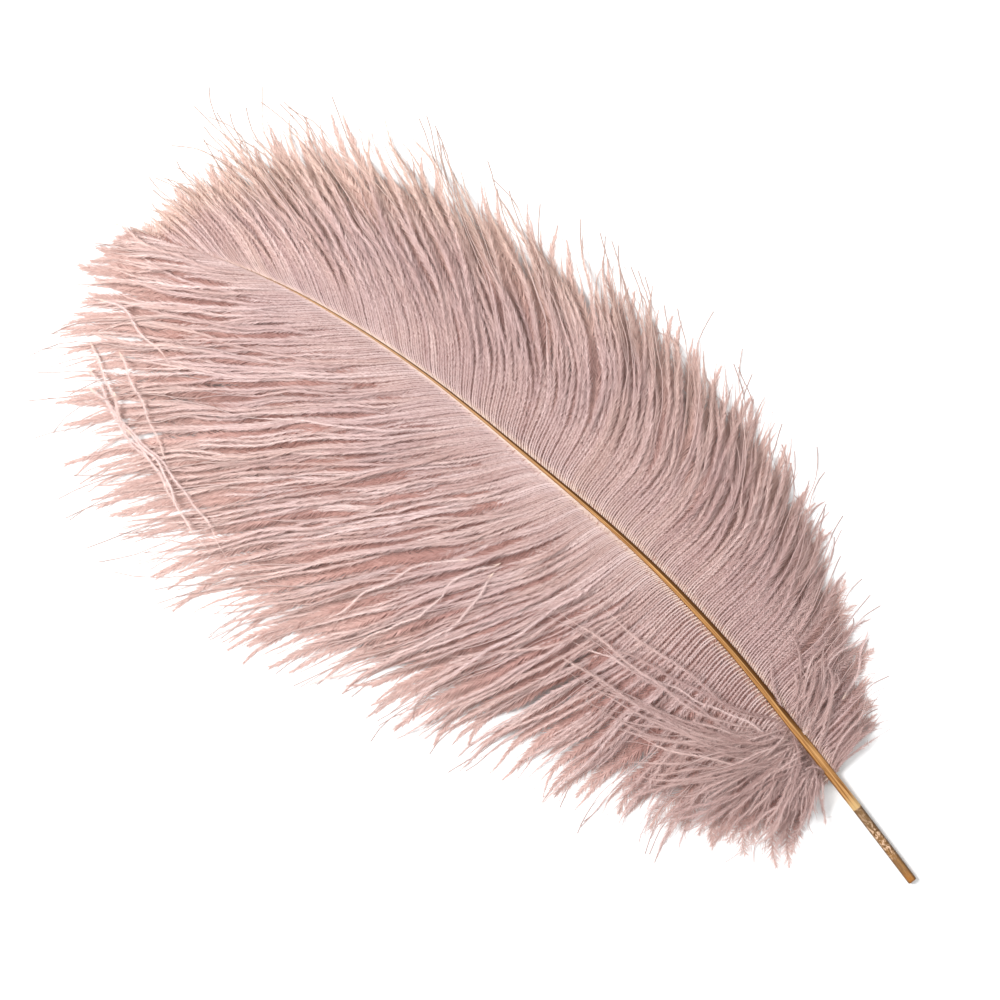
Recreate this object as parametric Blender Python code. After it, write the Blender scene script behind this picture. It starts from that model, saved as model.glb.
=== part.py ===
# Ostrich feather lying on a flat surface: one grooved shaft and the two vanes that grow from it.
# The feather lies along X, with its cut quill end at -X and its tip at +X.
# +Y is the left vane and -Y is the right vane, seen from above with the tip pointing away.
import math
import random

import bmesh
import bpy
import numpy as np
from mathutils import Vector

MM = 0.001

# Shaft stations in mm: place along X, place along Y, height of the centre line, width.
SHAFT_STATIONS = (
    (-197.0, 27.4, 1.4, 3.30),
    (-166.0, 17.4, 2.0, 3.40),
    (-133.0, 7.4, 4.6, 3.20),
    (-94.0, -3.8, 8.6, 2.80),
    (-50.0, -12.6, 12.6, 2.20),
    (0.0, -17.9, 15.2, 1.50),
    (50.0, -21.3, 15.0, 1.00),
    (95.0, -19.5, 12.4, 0.80),
    (128.0, -13.4, 8.8, 0.60),
    (148.0, -6.0, 5.6, 0.45),
)
SHAFT_STEPS = 56
SHAFT_SIDES = 12
SHAFT_FLATNESS = 0.84       # height of the shaft's section over its width
GROOVE_DEPTH = 0.07         # depth of the groove on top, over the width
QUILL_BORE = 1.7            # mm, width of the hollow in the cut end
QUILL_BORE_DEPTH = 7.0      # mm

# Barbs of each vane, by the distance of their root from the quill's cut end, in mm:
# root distance, angle at the root, angle at the tip (both from +X, in degrees), length in mm,
# and the distance in mm from the root at which half of the turn is made.
LEFT_BARBS = (
    (47.0, 104.0, 98.0, 30.0, 16.0),
    (70.0, 99.0, 90.0, 50.0, 16.0),
    (100.0, 93.0, 78.0, 74.0, 16.0),
    (132.0, 87.0, 63.0, 95.0, 18.0),
    (152.0, 83.0, 55.0, 107.0, 18.0),
    (168.0, 78.0, 49.0, 126.0, 18.0),
    (180.0, 69.0, 45.0, 140.0, 18.0),
    (190.0, 59.0, 43.0, 141.0, 18.0),
    (205.0, 52.0, 41.0, 144.0, 18.0),
    (223.0, 48.0, 38.0, 139.0, 18.0),
    (247.0, 47.0, 34.0, 127.0, 18.0),
    (280.0, 46.0, 29.0, 99.0, 18.0),
    (312.0, 43.0, 23.0, 64.0, 16.0),
    (339.0, 36.0, 19.0, 31.0, 14.0),
    (352.0, 24.0, 15.0, 17.0, 12.0),
)
RIGHT_BARBS = (
    (47.0, 108.0, 100.0, 28.0, 16.0),
    (70.0, 106.0, 88.0, 38.0, 22.0),
    (101.0, 108.0, 72.0, 54.0, 26.0),
    (132.0, 112.0, 56.0, 70.0, 30.0),
    (155.0, 110.0, 44.0, 77.0, 32.0),
    (183.0, 98.0, 34.0, 88.0, 34.0),
    (213.0, 80.0, 28.0, 97.0, 26.0),
    (230.0, 71.0, 26.0, 103.0, 22.0),
    (247.0, 62.0, 24.0, 100.0, 18.0),
    (262.0, 56.0, 21.0, 91.0, 17.0),
    (279.0, 50.0, 18.0, 79.0, 16.0),
    (304.0, 42.0, 12.0, 56.0, 16.0),
    (324.0, 32.0, 4.0, 38.0, 14.0),
    (339.0, 18.0, -5.0, 23.0, 12.0),
    (352.0, -11.0, -14.0, 17.0, 10.0),
)
BEND_POWER = 2.5            # more makes the turn later and sharper

LOCKS_PER_VANE = 34
STEPS_ALONG_BARB = 10
LOCK_SPLIT = 0.48           # part of a barb's length after which the locks stand apart
LOCK_TIP_WIDTH = 0.08       # width of a lock's tip over its width at the split
LOCK_TAPER = 2.8            # 1 is a straight taper, more keeps the lock broad for longer
LOCK_LENGTH_SPREAD = 0.09   # longest and shortest lock, over the length in the table
LOCK_LIFT = 0.7             # mm, one lock above or below its neighbours
RIDGE_HEIGHT = 1.5          # mm, the middle of a lock above its edges
CROWN_HEIGHT = 6.0          # mm, how far the vane rises beside the shaft before it droops
FULL_CROWN_LENGTH = 60.0    # mm, a shorter barb rises less
DROOP_POWER = 1.15          # 1 falls evenly from the shaft, more falls sooner
TOUCH_DOWN = 0.88           # part of a barb's length after which it lies on the surface
VANE_THICKNESS = ((0.0, 1.1), (0.15, 2.4), (0.6, 2.4), (1.0, 1.0))   # part of a barb's length, mm
TIP_HEIGHT = 1.0            # mm, top of a lock's tip that lies on the surface
SHAFT_GAP = 0.3             # mm, between the shaft's side and a vane

SHAFT_COLOUR = (0.50, 0.27, 0.10, 1.0)
LEFT_COLOUR = (0.62, 0.39, 0.35, 1.0)
RIGHT_COLOUR = (0.52, 0.32, 0.30, 1.0)


def clear_scene():
    for item in list(bpy.data.objects):
        bpy.data.objects.remove(item, do_unlink=True)


def make_collection(name):
    collection = bpy.data.collections.new(name)
    bpy.context.scene.collection.children.link(collection)
    return collection


def make_material(name, colour, roughness):
    material = bpy.data.materials.new(name)
    material.use_nodes = True
    material.diffuse_color = colour
    shader = material.node_tree.nodes["Principled BSDF"]
    shader.inputs["Base Color"].default_value = colour
    shader.inputs["Roughness"].default_value = roughness
    shader.inputs["Metallic"].default_value = 0.0
    return material


def smooth_path(stations, steps):
    """Catmull-Rom curve through the stations, sampled evenly by its length in plan."""
    rows = np.array(stations)
    rows = np.vstack([2 * rows[0] - rows[1], rows, 2 * rows[-1] - rows[-2]])
    fine = []
    for index in range(1, len(rows) - 2):
        before, start, end, after = rows[index - 1:index + 3]
        for t in np.linspace(0.0, 1.0, 24, endpoint=False):
            fine.append(0.5 * (2 * start + (end - before) * t
                               + (2 * before - 5 * start + 4 * end - after) * t ** 2
                               + (3 * start - before - 3 * end + after) * t ** 3))
    fine.append(rows[-2])
    fine = np.array(fine)
    travelled = np.concatenate([[0.0], np.cumsum(np.hypot(*np.diff(fine[:, :2], axis=0).T))])
    even = np.linspace(0.0, travelled[-1], steps + 1)
    return even, np.column_stack([np.interp(even, travelled, fine[:, i]) for i in range(fine.shape[1])])


class ShaftLine:
    """The shaft's centre line, read at any distance from the cut end."""

    def __init__(self):
        self.distance, self.rows = smooth_path(SHAFT_STATIONS, 400)
        self.length = self.distance[-1]

    def at(self, distance):
        return [float(np.interp(distance, self.distance, self.rows[:, i])) for i in range(4)]

    def heading(self, distance):
        behind = self.at(max(distance - 1.0, 0.0))
        ahead = self.at(min(distance + 1.0, self.length))
        return math.atan2(ahead[1] - behind[1], ahead[0] - behind[0])


def section_outline():
    """Section of the shaft, one unit wide: an oval with a shallow groove along its top."""
    points = []
    for step in range(SHAFT_SIDES):
        turn = math.radians(90.0 + 360.0 * step / SHAFT_SIDES)
        height = 0.5 * SHAFT_FLATNESS * math.sin(turn)
        if step == 0:
            height -= GROOVE_DEPTH
        points.append((0.5 * math.cos(turn), height))
    return points


def make_section(guides):
    curve = bpy.data.curves.new("shaft_section", "CURVE")
    curve.dimensions = "2D"
    spline = curve.splines.new("POLY")
    outline = section_outline()
    spline.points.add(len(outline) - 1)
    for point, (across, up) in zip(spline.points, outline):
        point.co = (across, up, 0.0, 1.0)
    spline.use_cyclic_u = True
    section = bpy.data.objects.new("shaft_section", curve)
    section.hide_render = True
    section.display_type = "WIRE"
    guides.objects.link(section)
    return section


def curve_to_mesh(curve_object, name, collection):
    """Turn a curve into a mesh object with its end caps welded on."""
    bpy.context.view_layer.update()
    evaluated = curve_object.evaluated_get(bpy.context.evaluated_depsgraph_get())
    mesh = bpy.data.meshes.new_from_object(evaluated)
    shape = bmesh.new()
    shape.from_mesh(mesh)
    bmesh.ops.remove_doubles(shape, verts=shape.verts, dist=0.00001)
    bmesh.ops.recalc_face_normals(shape, faces=shape.faces)
    shape.to_mesh(mesh)
    shape.free()
    result = bpy.data.objects.new(name, mesh)
    result.matrix_world = curve_object.matrix_world
    collection.objects.link(result)
    bpy.data.objects.remove(curve_object, do_unlink=True)
    return result


def make_shaft(line, collection, guides):
    curve = bpy.data.curves.new("shaft_line", "CURVE")
    curve.dimensions = "3D"
    curve.twist_mode = "Z_UP"
    curve.bevel_mode = "OBJECT"
    curve.bevel_object = make_section(guides)
    curve.use_fill_caps = True
    spline = curve.splines.new("POLY")
    spline.points.add(SHAFT_STEPS)
    for index, point in enumerate(spline.points):
        x, y, z, width = line.at(line.length * index / SHAFT_STEPS)
        point.co = (x * MM, y * MM, z * MM, 1.0)
        point.radius = width * MM
    guide = bpy.data.objects.new("shaft_line", curve)
    guides.objects.link(guide)
    shaft = curve_to_mesh(guide, "shaft", collection)

    x, y, z, _ = line.at(0.0)
    bpy.ops.mesh.primitive_cylinder_add(
        vertices=SHAFT_SIDES,
        radius=0.5 * QUILL_BORE * MM,
        depth=2.0 * QUILL_BORE_DEPTH * MM,
        location=(x * MM, y * MM, z * MM),
        rotation=(0.0, 0.5 * math.pi, line.heading(0.0)),
    )
    bore = bpy.context.object
    bore.name = "quill_bore"
    bore.hide_render = True
    bore.display_type = "WIRE"
    for owner in list(bore.users_collection):
        owner.objects.unlink(bore)
    guides.objects.link(bore)
    cut = shaft.modifiers.new("open_quill_end", "BOOLEAN")
    cut.operation = "DIFFERENCE"
    cut.solver = "EXACT"
    cut.object = bore
    return shaft


def barb_point(line, barbs, side, root, along, stretch):
    """A point in mm on the barb that starts at the given distance, side +1 or -1."""
    table = np.array(barbs)
    root_angle, tip_angle, length, bend = [np.interp(root, table[:, 0], table[:, i]) for i in (1, 2, 3, 4)]
    x, y, z, width = line.at(root)
    heading = line.heading(root)
    offset = 0.5 * width + SHAFT_GAP
    x -= side * offset * math.sin(heading)
    y += side * offset * math.cos(heading)
    reach = length * stretch * along
    steps = 24
    for step in range(steps):
        travelled = reach * (step + 0.5) / steps
        turn = tip_angle + (root_angle - tip_angle) / (1.0 + (travelled / bend) ** BEND_POWER)
        x += reach / steps * math.cos(math.radians(turn))
        y += side * reach / steps * math.sin(math.radians(turn))
    fall = min(1.0, along / TOUCH_DOWN)
    droop = z * (1.0 - fall) ** DROOP_POWER
    crown = CROWN_HEIGHT * min(1.0, length / FULL_CROWN_LENGTH) * 4.0 * fall * (1.0 - fall)
    return x, y, droop + crown


def thickness_at(along):
    return float(np.interp(along, *zip(*VANE_THICKNESS)))


def make_vane(name, line, barbs, side, seed, collection):
    """A sheet of locks joined near the shaft and parted towards their tips, then thickened."""
    chance = random.Random(seed)
    stretches = [1.0 + chance.uniform(-1.0, 1.0) * LOCK_LENGTH_SPREAD for _ in range(LOCKS_PER_VANE)]
    lifts = [chance.uniform(-1.0, 1.0) * LOCK_LIFT for _ in range(LOCKS_PER_VANE)]
    first, last = barbs[0][0], barbs[-1][0]

    shape = bmesh.new()
    bmesh.ops.create_grid(shape, x_segments=2 * LOCKS_PER_VANE, y_segments=STEPS_ALONG_BARB, size=0.5)
    across_layer = shape.verts.layers.float.new("across")
    along_layer = shape.verts.layers.float.new("along")
    for vert in shape.verts:
        vert[across_layer] = (vert.co.x + 0.5) * LOCKS_PER_VANE
        vert[along_layer] = vert.co.y + 0.5

    def between_locks(edge):
        a, b = edge.verts
        level = abs(a[across_layer] - b[across_layer]) < 0.1
        whole = abs(a[across_layer] - round(a[across_layer])) < 0.1
        return level and whole and min(a[along_layer], b[along_layer]) > LOCK_SPLIT

    parted = [edge for edge in shape.edges if between_locks(edge) and not edge.is_boundary]
    bmesh.ops.split_edges(shape, edges=parted)

    places = {}
    for vert in shape.verts:
        across, along = vert[across_layer], vert[along_layer]
        root = first + (last - first) * across / LOCKS_PER_VANE
        owners = {int((face.calc_center_median().x + 0.5) * LOCKS_PER_VANE) for face in vert.link_faces}
        lock = max(owners)
        if len(owners) > 1:
            stretch = 0.5 * (stretches[lock] + stretches[lock - 1])
            places[vert] = barb_point(line, barbs, side, root, along, stretch)
            continue
        free = max(0.0, (along - LOCK_SPLIT) / (1.0 - LOCK_SPLIT))
        width = 1.0 - (1.0 - LOCK_TIP_WIDTH) * free ** LOCK_TAPER
        ridge_root = first + (last - first) * (lock + 0.5) / LOCKS_PER_VANE
        ridge = barb_point(line, barbs, side, ridge_root, along, stretches[lock])
        edge = barb_point(line, barbs, side, root, along, stretches[lock])
        x, y, z = [r + (e - r) * width for r, e in zip(ridge, edge)]
        is_ridge = abs(across - lock - 0.5) < 0.1
        z += lifts[lock] * min(1.0, free * 3.0) * (1.0 - free)
        if is_ridge:
            z += RIDGE_HEIGHT * min(1.0, along * 6.0) * (1.0 - 0.6 * free)
        places[vert] = (x, y, z)
    for vert, (x, y, z) in places.items():
        vert.co = (x * MM, y * MM, max(z, TIP_HEIGHT) * MM)

    under = bmesh.ops.extrude_face_region(shape, geom=shape.faces[:])
    for vert in under["geom"]:
        if isinstance(vert, bmesh.types.BMVert):
            vert.co.z = max(vert.co.z - thickness_at(vert[along_layer]) * MM, 0.0)
    bmesh.ops.recalc_face_normals(shape, faces=shape.faces)

    mesh = bpy.data.meshes.new(name)
    shape.to_mesh(mesh)
    shape.free()
    mesh.shade_smooth()
    mesh.set_sharp_from_angle(angle=math.radians(35.0))
    vane = bpy.data.objects.new(name, mesh)
    collection.objects.link(vane)
    return vane


def centre_on_origin(pieces, guides):
    """Put the middle of the feather's footprint at the origin, with its guides kept in place."""
    bpy.context.view_layer.update()
    corners = [piece.matrix_world @ Vector(corner) for piece in pieces for corner in piece.bound_box]
    middle_x = 0.5 * (min(c.x for c in corners) + max(c.x for c in corners))
    middle_y = 0.5 * (min(c.y for c in corners) + max(c.y for c in corners))
    for item in pieces + guides:
        item.location.x -= middle_x
        item.location.y -= middle_y
    bpy.context.view_layer.update()


def main():
    clear_scene()
    feather = make_collection("ostrich_feather")
    guides = make_collection("guides")
    line = ShaftLine()

    shaft = make_shaft(line, feather, guides)
    shaft.data.materials.append(make_material("golden_shaft", SHAFT_COLOUR, 0.35))
    shaft.data.shade_smooth()
    shaft.data.set_sharp_from_angle(angle=math.radians(50.0))

    left_vane = make_vane("left_vane", line, LEFT_BARBS, 1, 11, feather)
    left_vane.data.materials.append(make_material("pink_barbs_left", LEFT_COLOUR, 0.85))
    right_vane = make_vane("right_vane", line, RIGHT_BARBS, -1, 23, feather)
    right_vane.data.materials.append(make_material("pink_barbs_right", RIGHT_COLOUR, 0.85))
    centre_on_origin(list(feather.objects), list(guides.objects))


main()
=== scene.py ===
import math

import bmesh
import bpy
import mathutils.kdtree
import numpy as np
from mathutils import Matrix, Vector


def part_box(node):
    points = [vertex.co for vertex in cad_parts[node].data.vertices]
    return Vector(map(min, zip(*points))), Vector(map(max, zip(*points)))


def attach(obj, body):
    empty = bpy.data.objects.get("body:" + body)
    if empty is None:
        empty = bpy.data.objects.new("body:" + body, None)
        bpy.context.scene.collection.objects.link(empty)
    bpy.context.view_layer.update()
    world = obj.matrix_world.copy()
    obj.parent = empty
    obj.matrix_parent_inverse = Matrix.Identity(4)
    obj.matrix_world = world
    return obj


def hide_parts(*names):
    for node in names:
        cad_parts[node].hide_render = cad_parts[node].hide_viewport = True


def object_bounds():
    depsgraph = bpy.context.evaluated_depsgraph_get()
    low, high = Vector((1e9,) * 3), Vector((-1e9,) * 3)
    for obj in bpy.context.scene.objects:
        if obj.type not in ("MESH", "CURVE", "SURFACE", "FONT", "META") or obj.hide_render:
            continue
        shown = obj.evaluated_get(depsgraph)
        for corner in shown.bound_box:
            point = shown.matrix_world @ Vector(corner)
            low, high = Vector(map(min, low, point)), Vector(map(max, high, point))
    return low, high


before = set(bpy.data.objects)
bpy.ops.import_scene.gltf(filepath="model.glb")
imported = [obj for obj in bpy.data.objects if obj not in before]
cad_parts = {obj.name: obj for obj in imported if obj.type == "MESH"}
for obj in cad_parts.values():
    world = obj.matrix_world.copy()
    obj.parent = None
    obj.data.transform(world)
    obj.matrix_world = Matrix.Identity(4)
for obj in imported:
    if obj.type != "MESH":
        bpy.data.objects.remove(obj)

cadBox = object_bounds()
mm = 0.001
body = "root"

# The shaft, in millimetres, as the solid has it: along, across, height of the centre, width
shaftLook = {
    "stations": (
        (-197.0, 27.4, 1.4, 3.30),
        (-166.0, 17.4, 2.0, 3.40),
        (-133.0, 7.4, 4.6, 3.20),
        (-94.0, -3.8, 8.6, 2.80),
        (-50.0, -12.6, 12.6, 2.20),
        (0.0, -17.9, 15.2, 1.50),
        (50.0, -21.3, 15.0, 1.00),
        (95.0, -19.5, 12.4, 0.80),
        (128.0, -13.4, 8.8, 0.60),
        (148.0, -6.0, 5.6, 0.45),
    ),
    "rings": 220,
    "sides": 28,
    "flatness": 0.84,
    "groove": 0.07,
    "grooveWidth": 0.09,
    "boreWidth": 0.52,      # of the quill's width
    "boreTaper": 0.9,
    "boreDepth": 5.0,
    "boreEnd": (0.06, 1.05),  # width of its closed end, and how much deeper that lies
    "sharpAngle": 50.0,
    "pithStart": 32.5,      # from the cut end to the opaque shaft
}

# Barbs: root distance from the cut end, angle at the root, angle at the tip, length,
# distance at which half of the turn is made
barbLook = {
    "left": (
        (47.0, 104.0, 98.0, 30.0, 16.0),
        (70.0, 99.0, 90.0, 50.0, 16.0),
        (100.0, 93.0, 78.0, 74.0, 16.0),
        (132.0, 87.0, 63.0, 95.0, 18.0),
        (152.0, 83.0, 55.0, 107.0, 18.0),
        (168.0, 78.0, 49.0, 126.0, 18.0),
        (180.0, 69.0, 45.0, 140.0, 18.0),
        (190.0, 59.0, 43.0, 141.0, 18.0),
        (205.0, 52.0, 41.0, 144.0, 18.0),
        (223.0, 48.0, 38.0, 139.0, 18.0),
        (247.0, 47.0, 34.0, 127.0, 18.0),
        (280.0, 46.0, 29.0, 99.0, 18.0),
        (312.0, 43.0, 23.0, 64.0, 16.0),
        (339.0, 36.0, 19.0, 31.0, 14.0),
        (352.0, 24.0, 15.0, 17.0, 12.0),
    ),
    "right": (
        (47.0, 108.0, 100.0, 28.0, 16.0),
        (70.0, 106.0, 88.0, 38.0, 22.0),
        (101.0, 108.0, 72.0, 54.0, 26.0),
        (132.0, 112.0, 56.0, 70.0, 30.0),
        (155.0, 110.0, 44.0, 77.0, 32.0),
        (183.0, 98.0, 34.0, 88.0, 34.0),
        (213.0, 80.0, 28.0, 97.0, 26.0),
        (230.0, 71.0, 26.0, 103.0, 22.0),
        (247.0, 62.0, 24.0, 100.0, 18.0),
        (262.0, 56.0, 21.0, 91.0, 17.0),
        (279.0, 50.0, 18.0, 79.0, 16.0),
        (304.0, 42.0, 12.0, 56.0, 16.0),
        (324.0, 32.0, 4.0, 38.0, 14.0),
        (339.0, 18.0, -5.0, 23.0, 12.0),
        (352.0, -11.0, -14.0, 17.0, 10.0),
    ),
    "bendPower": 2.5,
    "hook": 42.0,           # degrees nearer to the shaft's own line at a barb's very root
    "hookLength": 4.0,
    "crown": 6.0,
    "fullCrown": 60.0,
    "droop": 1.15,
    "touchDown": 0.88,
    "inset": 0.46,          # of the shaft's width, from its middle to a barb's root
    "seat": -0.06,          # of the shaft's width, above its middle
    "curlStart": 0.76,      # part of the length after which a tip may curl
    "steps": 30,
    "stepPower": 1.35,      # over 1 puts more steps near the shaft
}


def evenRows(stations, steps, between=24):
    # a Catmull-Rom curve through the stations, read at even distances in plan
    rows = np.array(stations)
    rows = np.vstack([2 * rows[0] - rows[1], rows, 2 * rows[-1] - rows[-2]])
    fine = []
    for i in range(1, len(rows) - 2):
        a, b, c, d = rows[i - 1:i + 3]
        for t in np.linspace(0, 1, between, endpoint=False):
            fine.append(0.5 * (2 * b + (c - a) * t + (2 * a - 5 * b + 4 * c - d) * t ** 2
                               + (3 * b - a - 3 * c + d) * t ** 3))
    fine.append(rows[-2])
    fine = np.array(fine)
    gone = np.concatenate([[0], np.cumsum(np.hypot(*np.diff(fine[:, :2], axis=0).T))])
    even = np.linspace(0, gone[-1], steps + 1)
    return even, np.column_stack([np.interp(even, gone, fine[:, i]) for i in range(fine.shape[1])])


shaftDistance, shaftRows = evenRows(shaftLook["stations"], 400)
shaftLength = shaftDistance[-1]


def shaftAt(distance):
    return np.stack([np.interp(distance, shaftDistance, shaftRows[:, i]) for i in range(4)], -1)


def shaftHeading(distance):
    behind = shaftAt(np.maximum(distance - 1, 0))
    ahead = shaftAt(np.minimum(distance + 1, shaftLength))
    return np.arctan2(ahead[..., 1] - behind[..., 1], ahead[..., 0] - behind[..., 0])


def smoothStep(x, low, high):
    t = np.clip((x - low) / (high - low), 0, 1)
    return t * t * (3 - 2 * t)


def unit(v):
    return v / np.maximum(np.linalg.norm(v, axis=-1, keepdims=True), 1e-9)


# Shader maths: a socket that can be added, multiplied and so on
class Wire:
    def __init__(self, tree, socket):
        self.tree = tree
        self.socket = socket

    def math(self, operation, other=0.0, flip=False):
        first, second = (other, self) if flip else (self, other)
        return addNode(self.tree, "ShaderNodeMath", {"operation": operation}, {0: first, 1: second})[0]

    def __add__(self, other):
        return self.math("ADD", other)

    def __radd__(self, other):
        return self.math("ADD", other, flip=True)

    def __sub__(self, other):
        return self.math("SUBTRACT", other)

    def __rsub__(self, other):
        return self.math("SUBTRACT", other, flip=True)

    def __mul__(self, other):
        return self.math("MULTIPLY", other)

    def __rmul__(self, other):
        return self.math("MULTIPLY", other, flip=True)

    def ramp(self, low, high):
        # 0 below low, 1 above high, smooth between
        return addNode(self.tree, "ShaderNodeMapRange", {"interpolation_type": "SMOOTHSTEP"},
                       {"Value": self, "From Min": low, "From Max": high})[0]


def addNode(tree, kind, settings=None, inputs=None):
    # adds one node and returns its outputs as wires
    node = tree.nodes.new(kind)
    for name, value in (settings or {}).items():
        setattr(node, name, value)
    for name, value in (inputs or {}).items():
        socket = node.inputs[name]
        if isinstance(value, Wire):
            tree.links.new(value.socket, socket)
        else:
            socket.default_value = value
    return [Wire(tree, out) for out in node.outputs if out.enabled]


def mixColour(tree, factor, a, b):
    # a Mix node's two colours are its sockets 6 and 7
    return addNode(tree, "ShaderNodeMix", {"data_type": "RGBA"}, {0: factor, 6: a, 7: b})[0]


def newMaterial(name):
    material = bpy.data.materials.new(name)
    material.use_nodes = True
    material.node_tree.nodes.clear()
    return material, material.node_tree


def fromArrays(name, points, triangles, layers, mapPlace):
    # one mesh from arrays of points in mm and triangles, with its attributes and bake map
    mesh = bpy.data.meshes.new(name)
    mesh.vertices.add(len(points))
    mesh.vertices.foreach_set("co", (points * mm).astype(np.float32).ravel())
    mesh.loops.add(triangles.size)
    mesh.loops.foreach_set("vertex_index", triangles.astype(np.int32).ravel())
    mesh.polygons.add(len(triangles))
    mesh.polygons.foreach_set("loop_start", np.arange(0, triangles.size, 3, dtype=np.int32))
    for layer, values in layers.items():
        mesh.attributes.new(layer, "FLOAT", "POINT").data.foreach_set("value", values.astype(np.float32))
    uv = mesh.uv_layers.new(name="OFBake")
    uv.uv.foreach_set("vector", mapPlace[triangles.ravel()].astype(np.float32).ravel())
    mesh.update(calc_edges=True)
    piece = bpy.data.objects.new(name, mesh)
    bpy.context.scene.collection.objects.link(piece)
    return piece


def shaftSection():
    # points round the shaft, one unit wide, with the groove on top, starting on top
    angles = np.radians(90 + 360 * np.arange(shaftLook["sides"]) / shaftLook["sides"])
    across = 0.5 * np.cos(angles)
    up = 0.5 * shaftLook["flatness"] * np.sin(angles)
    up -= shaftLook["groove"] * np.exp(-(across / shaftLook["grooveWidth"]) ** 2) * (np.sin(angles) > 0)
    return across, up


def makeShaft():
    shape = bmesh.new()
    sides = shaftLook["sides"]
    ring = bmesh.ops.create_circle(shape, segments=sides, radius=0.5)["verts"]
    edges = list(shape.edges)
    across, up = shaftSection()
    rings = []
    for i in range(shaftLook["rings"] + 1):
        if i:
            grown = bmesh.ops.extrude_edge_only(shape, edges=edges)["geom"]
            fresh = {g for g in grown if isinstance(g, bmesh.types.BMVert)}
            edges = [g for g in grown if isinstance(g, bmesh.types.BMEdge) and fresh.issuperset(g.verts)]
            ring = orderRing(ring, fresh)
        rings.append(ring)
        distance = shaftLength * i / shaftLook["rings"]
        x, y, z, width = shaftAt(distance)
        heading = float(shaftHeading(distance))
        for vert, a, u in zip(ring, across, up):
            vert.co = (x - a * width * math.sin(heading), y + a * width * math.cos(heading), z + u * width)
    return shape, rings


def orderRing(old, fresh):
    # the new vertex next to each old one, found along the edge that joins them
    return [next(e.other_vert(v) for e in v.link_edges if e.other_vert(v) in fresh) for v in old]


def finishShaft():
    shape, rings = makeShaft()
    # the quill's cut end has an open bore, and the thin tip is closed
    first = [e for e in shape.edges if e.is_boundary and e.verts[0] in rings[0]]
    x, y, z, width = shaftAt(0.0)
    heading = float(shaftHeading(0.0))
    inward = Vector((math.cos(heading), math.sin(heading), 0))
    middle = Vector((x, y, z))
    bore, depth = shaftLook["boreWidth"], shaftLook["boreDepth"]
    endWidth, endDepth = shaftLook["boreEnd"]
    for scale, step in ((bore, 0.0), (bore * shaftLook["boreTaper"], depth), (endWidth, depth * endDepth)):
        grown = bmesh.ops.extrude_edge_only(shape, edges=first)["geom"]
        verts = [g for g in grown if isinstance(g, bmesh.types.BMVert)]
        widest = max((v.co - middle).length for v in verts)
        factor = scale * 0.5 * width / widest
        for v in verts:
            flat = (v.co - middle) - inward * (v.co - middle).dot(inward)
            v.co = middle + flat * factor + inward * step
        first = [g for g in grown if isinstance(g, bmesh.types.BMEdge) and g.is_boundary]
    bmesh.ops.holes_fill(shape, edges=[e for e in shape.edges if e.is_boundary], sides=0)
    bmesh.ops.recalc_face_normals(shape, faces=shape.faces)

    mapLayer = shape.loops.layers.uv.new("OFBake")
    place = {}
    for i, ring in enumerate(rings):
        for j, v in enumerate(ring):
            place[v] = (i / shaftLook["rings"], j / shaftLook["sides"])
    for face in shape.faces:
        rows = [place.get(l.vert, (0.0, 0.5)) for l in face.loops]
        wraps = max(r[1] for r in rows) - min(r[1] for r in rows) > 0.5
        for l, (u, v) in zip(face.loops, rows):
            l[mapLayer].uv = (u, 1.0 if wraps and v < 0.01 else v)
    mesh = bpy.data.meshes.new("shaft_skin")
    shape.to_mesh(mesh)
    shape.free()
    mesh.transform(Matrix.Scale(mm, 4))
    mesh.shade_smooth()
    mesh.set_sharp_from_angle(angle=math.radians(shaftLook["sharpAngle"]))
    piece = bpy.data.objects.new("shaft_skin", mesh)
    bpy.context.scene.collection.objects.link(piece)
    return piece


def lowCorner(piece):
    places = np.array([v.co for v in piece.data.vertices])
    return places.min(0)


shaftSkin = finishShaft()
cadLow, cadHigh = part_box("shaft")
slide = np.array([cadLow.x, cadLow.y, 0]) - lowCorner(shaftSkin) * (1, 1, 0)
shaftSkin.data.transform(Matrix.Translation(Vector(slide)))
slideMm = slide / mm
print("shaft", len(shaftSkin.data.polygons), "faces, slid by", np.round(slideMm, 2))


# The shaft's colours, and the distances in mm from the cut end between which each comes in
shaftTones = {
    "gold": ((0.20, 0.078, 0.018, 1), (0.56, 0.30, 0.11, 1)),
    "goldBlotch": (0.30, 0.135, 0.035, 1),
    # crestHighlight: a painted highlight, a lighter line along the shaft's top
    "crestHighlight": (0.62, 0.36, 0.15, 1),
    # groove: painted shade, a thin darker line for the shade of a groove
    "groove": (0.19, 0.070, 0.016, 1),
    "upperShaft": (0.40, 0.24, 0.135, 1),
    "upperReach": (130.0, 290.0),
    # leftEdgeShade: painted shade, a dark line along the shaft's left edge
    "leftEdgeShade": (0.15, 0.055, 0.012, 1),
    # rightShade: painted shade on the shaft's right side, where it comes in and fades
    "rightShade": (0.085, 0.030, 0.004, 1),
    "rightShadeReach": (52.0, 78.0),
    "rightShadeFade": (230.0, 330.0),
    "paleEnd": (0.56, 0.39, 0.18, 1),
    "paleReach": (0.4, 7.0),       # past the pith's start
    "amber": ((0.21, 0.10, 0.030, 1), (0.38, 0.20, 0.072, 1)),
    "amberBlotch": (0.17, 0.085, 0.035, 1),
    "cutEnd": (0.33, 0.115, 0.012, 1),
    "cutReach": (0.5, 5.5),
    "cutRim": (0.12, 0.045, 0.008, 1),
    "rimReach": (0.2, 0.9),
    "smoky": (0.17, 0.10, 0.045, 1),
    "smokyReach": (19.0, 24.0),
    "pulp": (0.66, 0.45, 0.31, 1),
    "pulpReach": (9.0, 14.0),
    "pulpFade": (21.0, 28.0),
    # creaseShade: painted shade in the crumpled pulp's creases
    "creaseShade": (0.075, 0.03, 0.008, 1),
    # quillEdgeShade: painted shade along both sides of the clear quill
    "quillEdgeShade": (0.085, 0.04, 0.012, 1),
    "quillCoat": 0.08,
}


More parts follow.
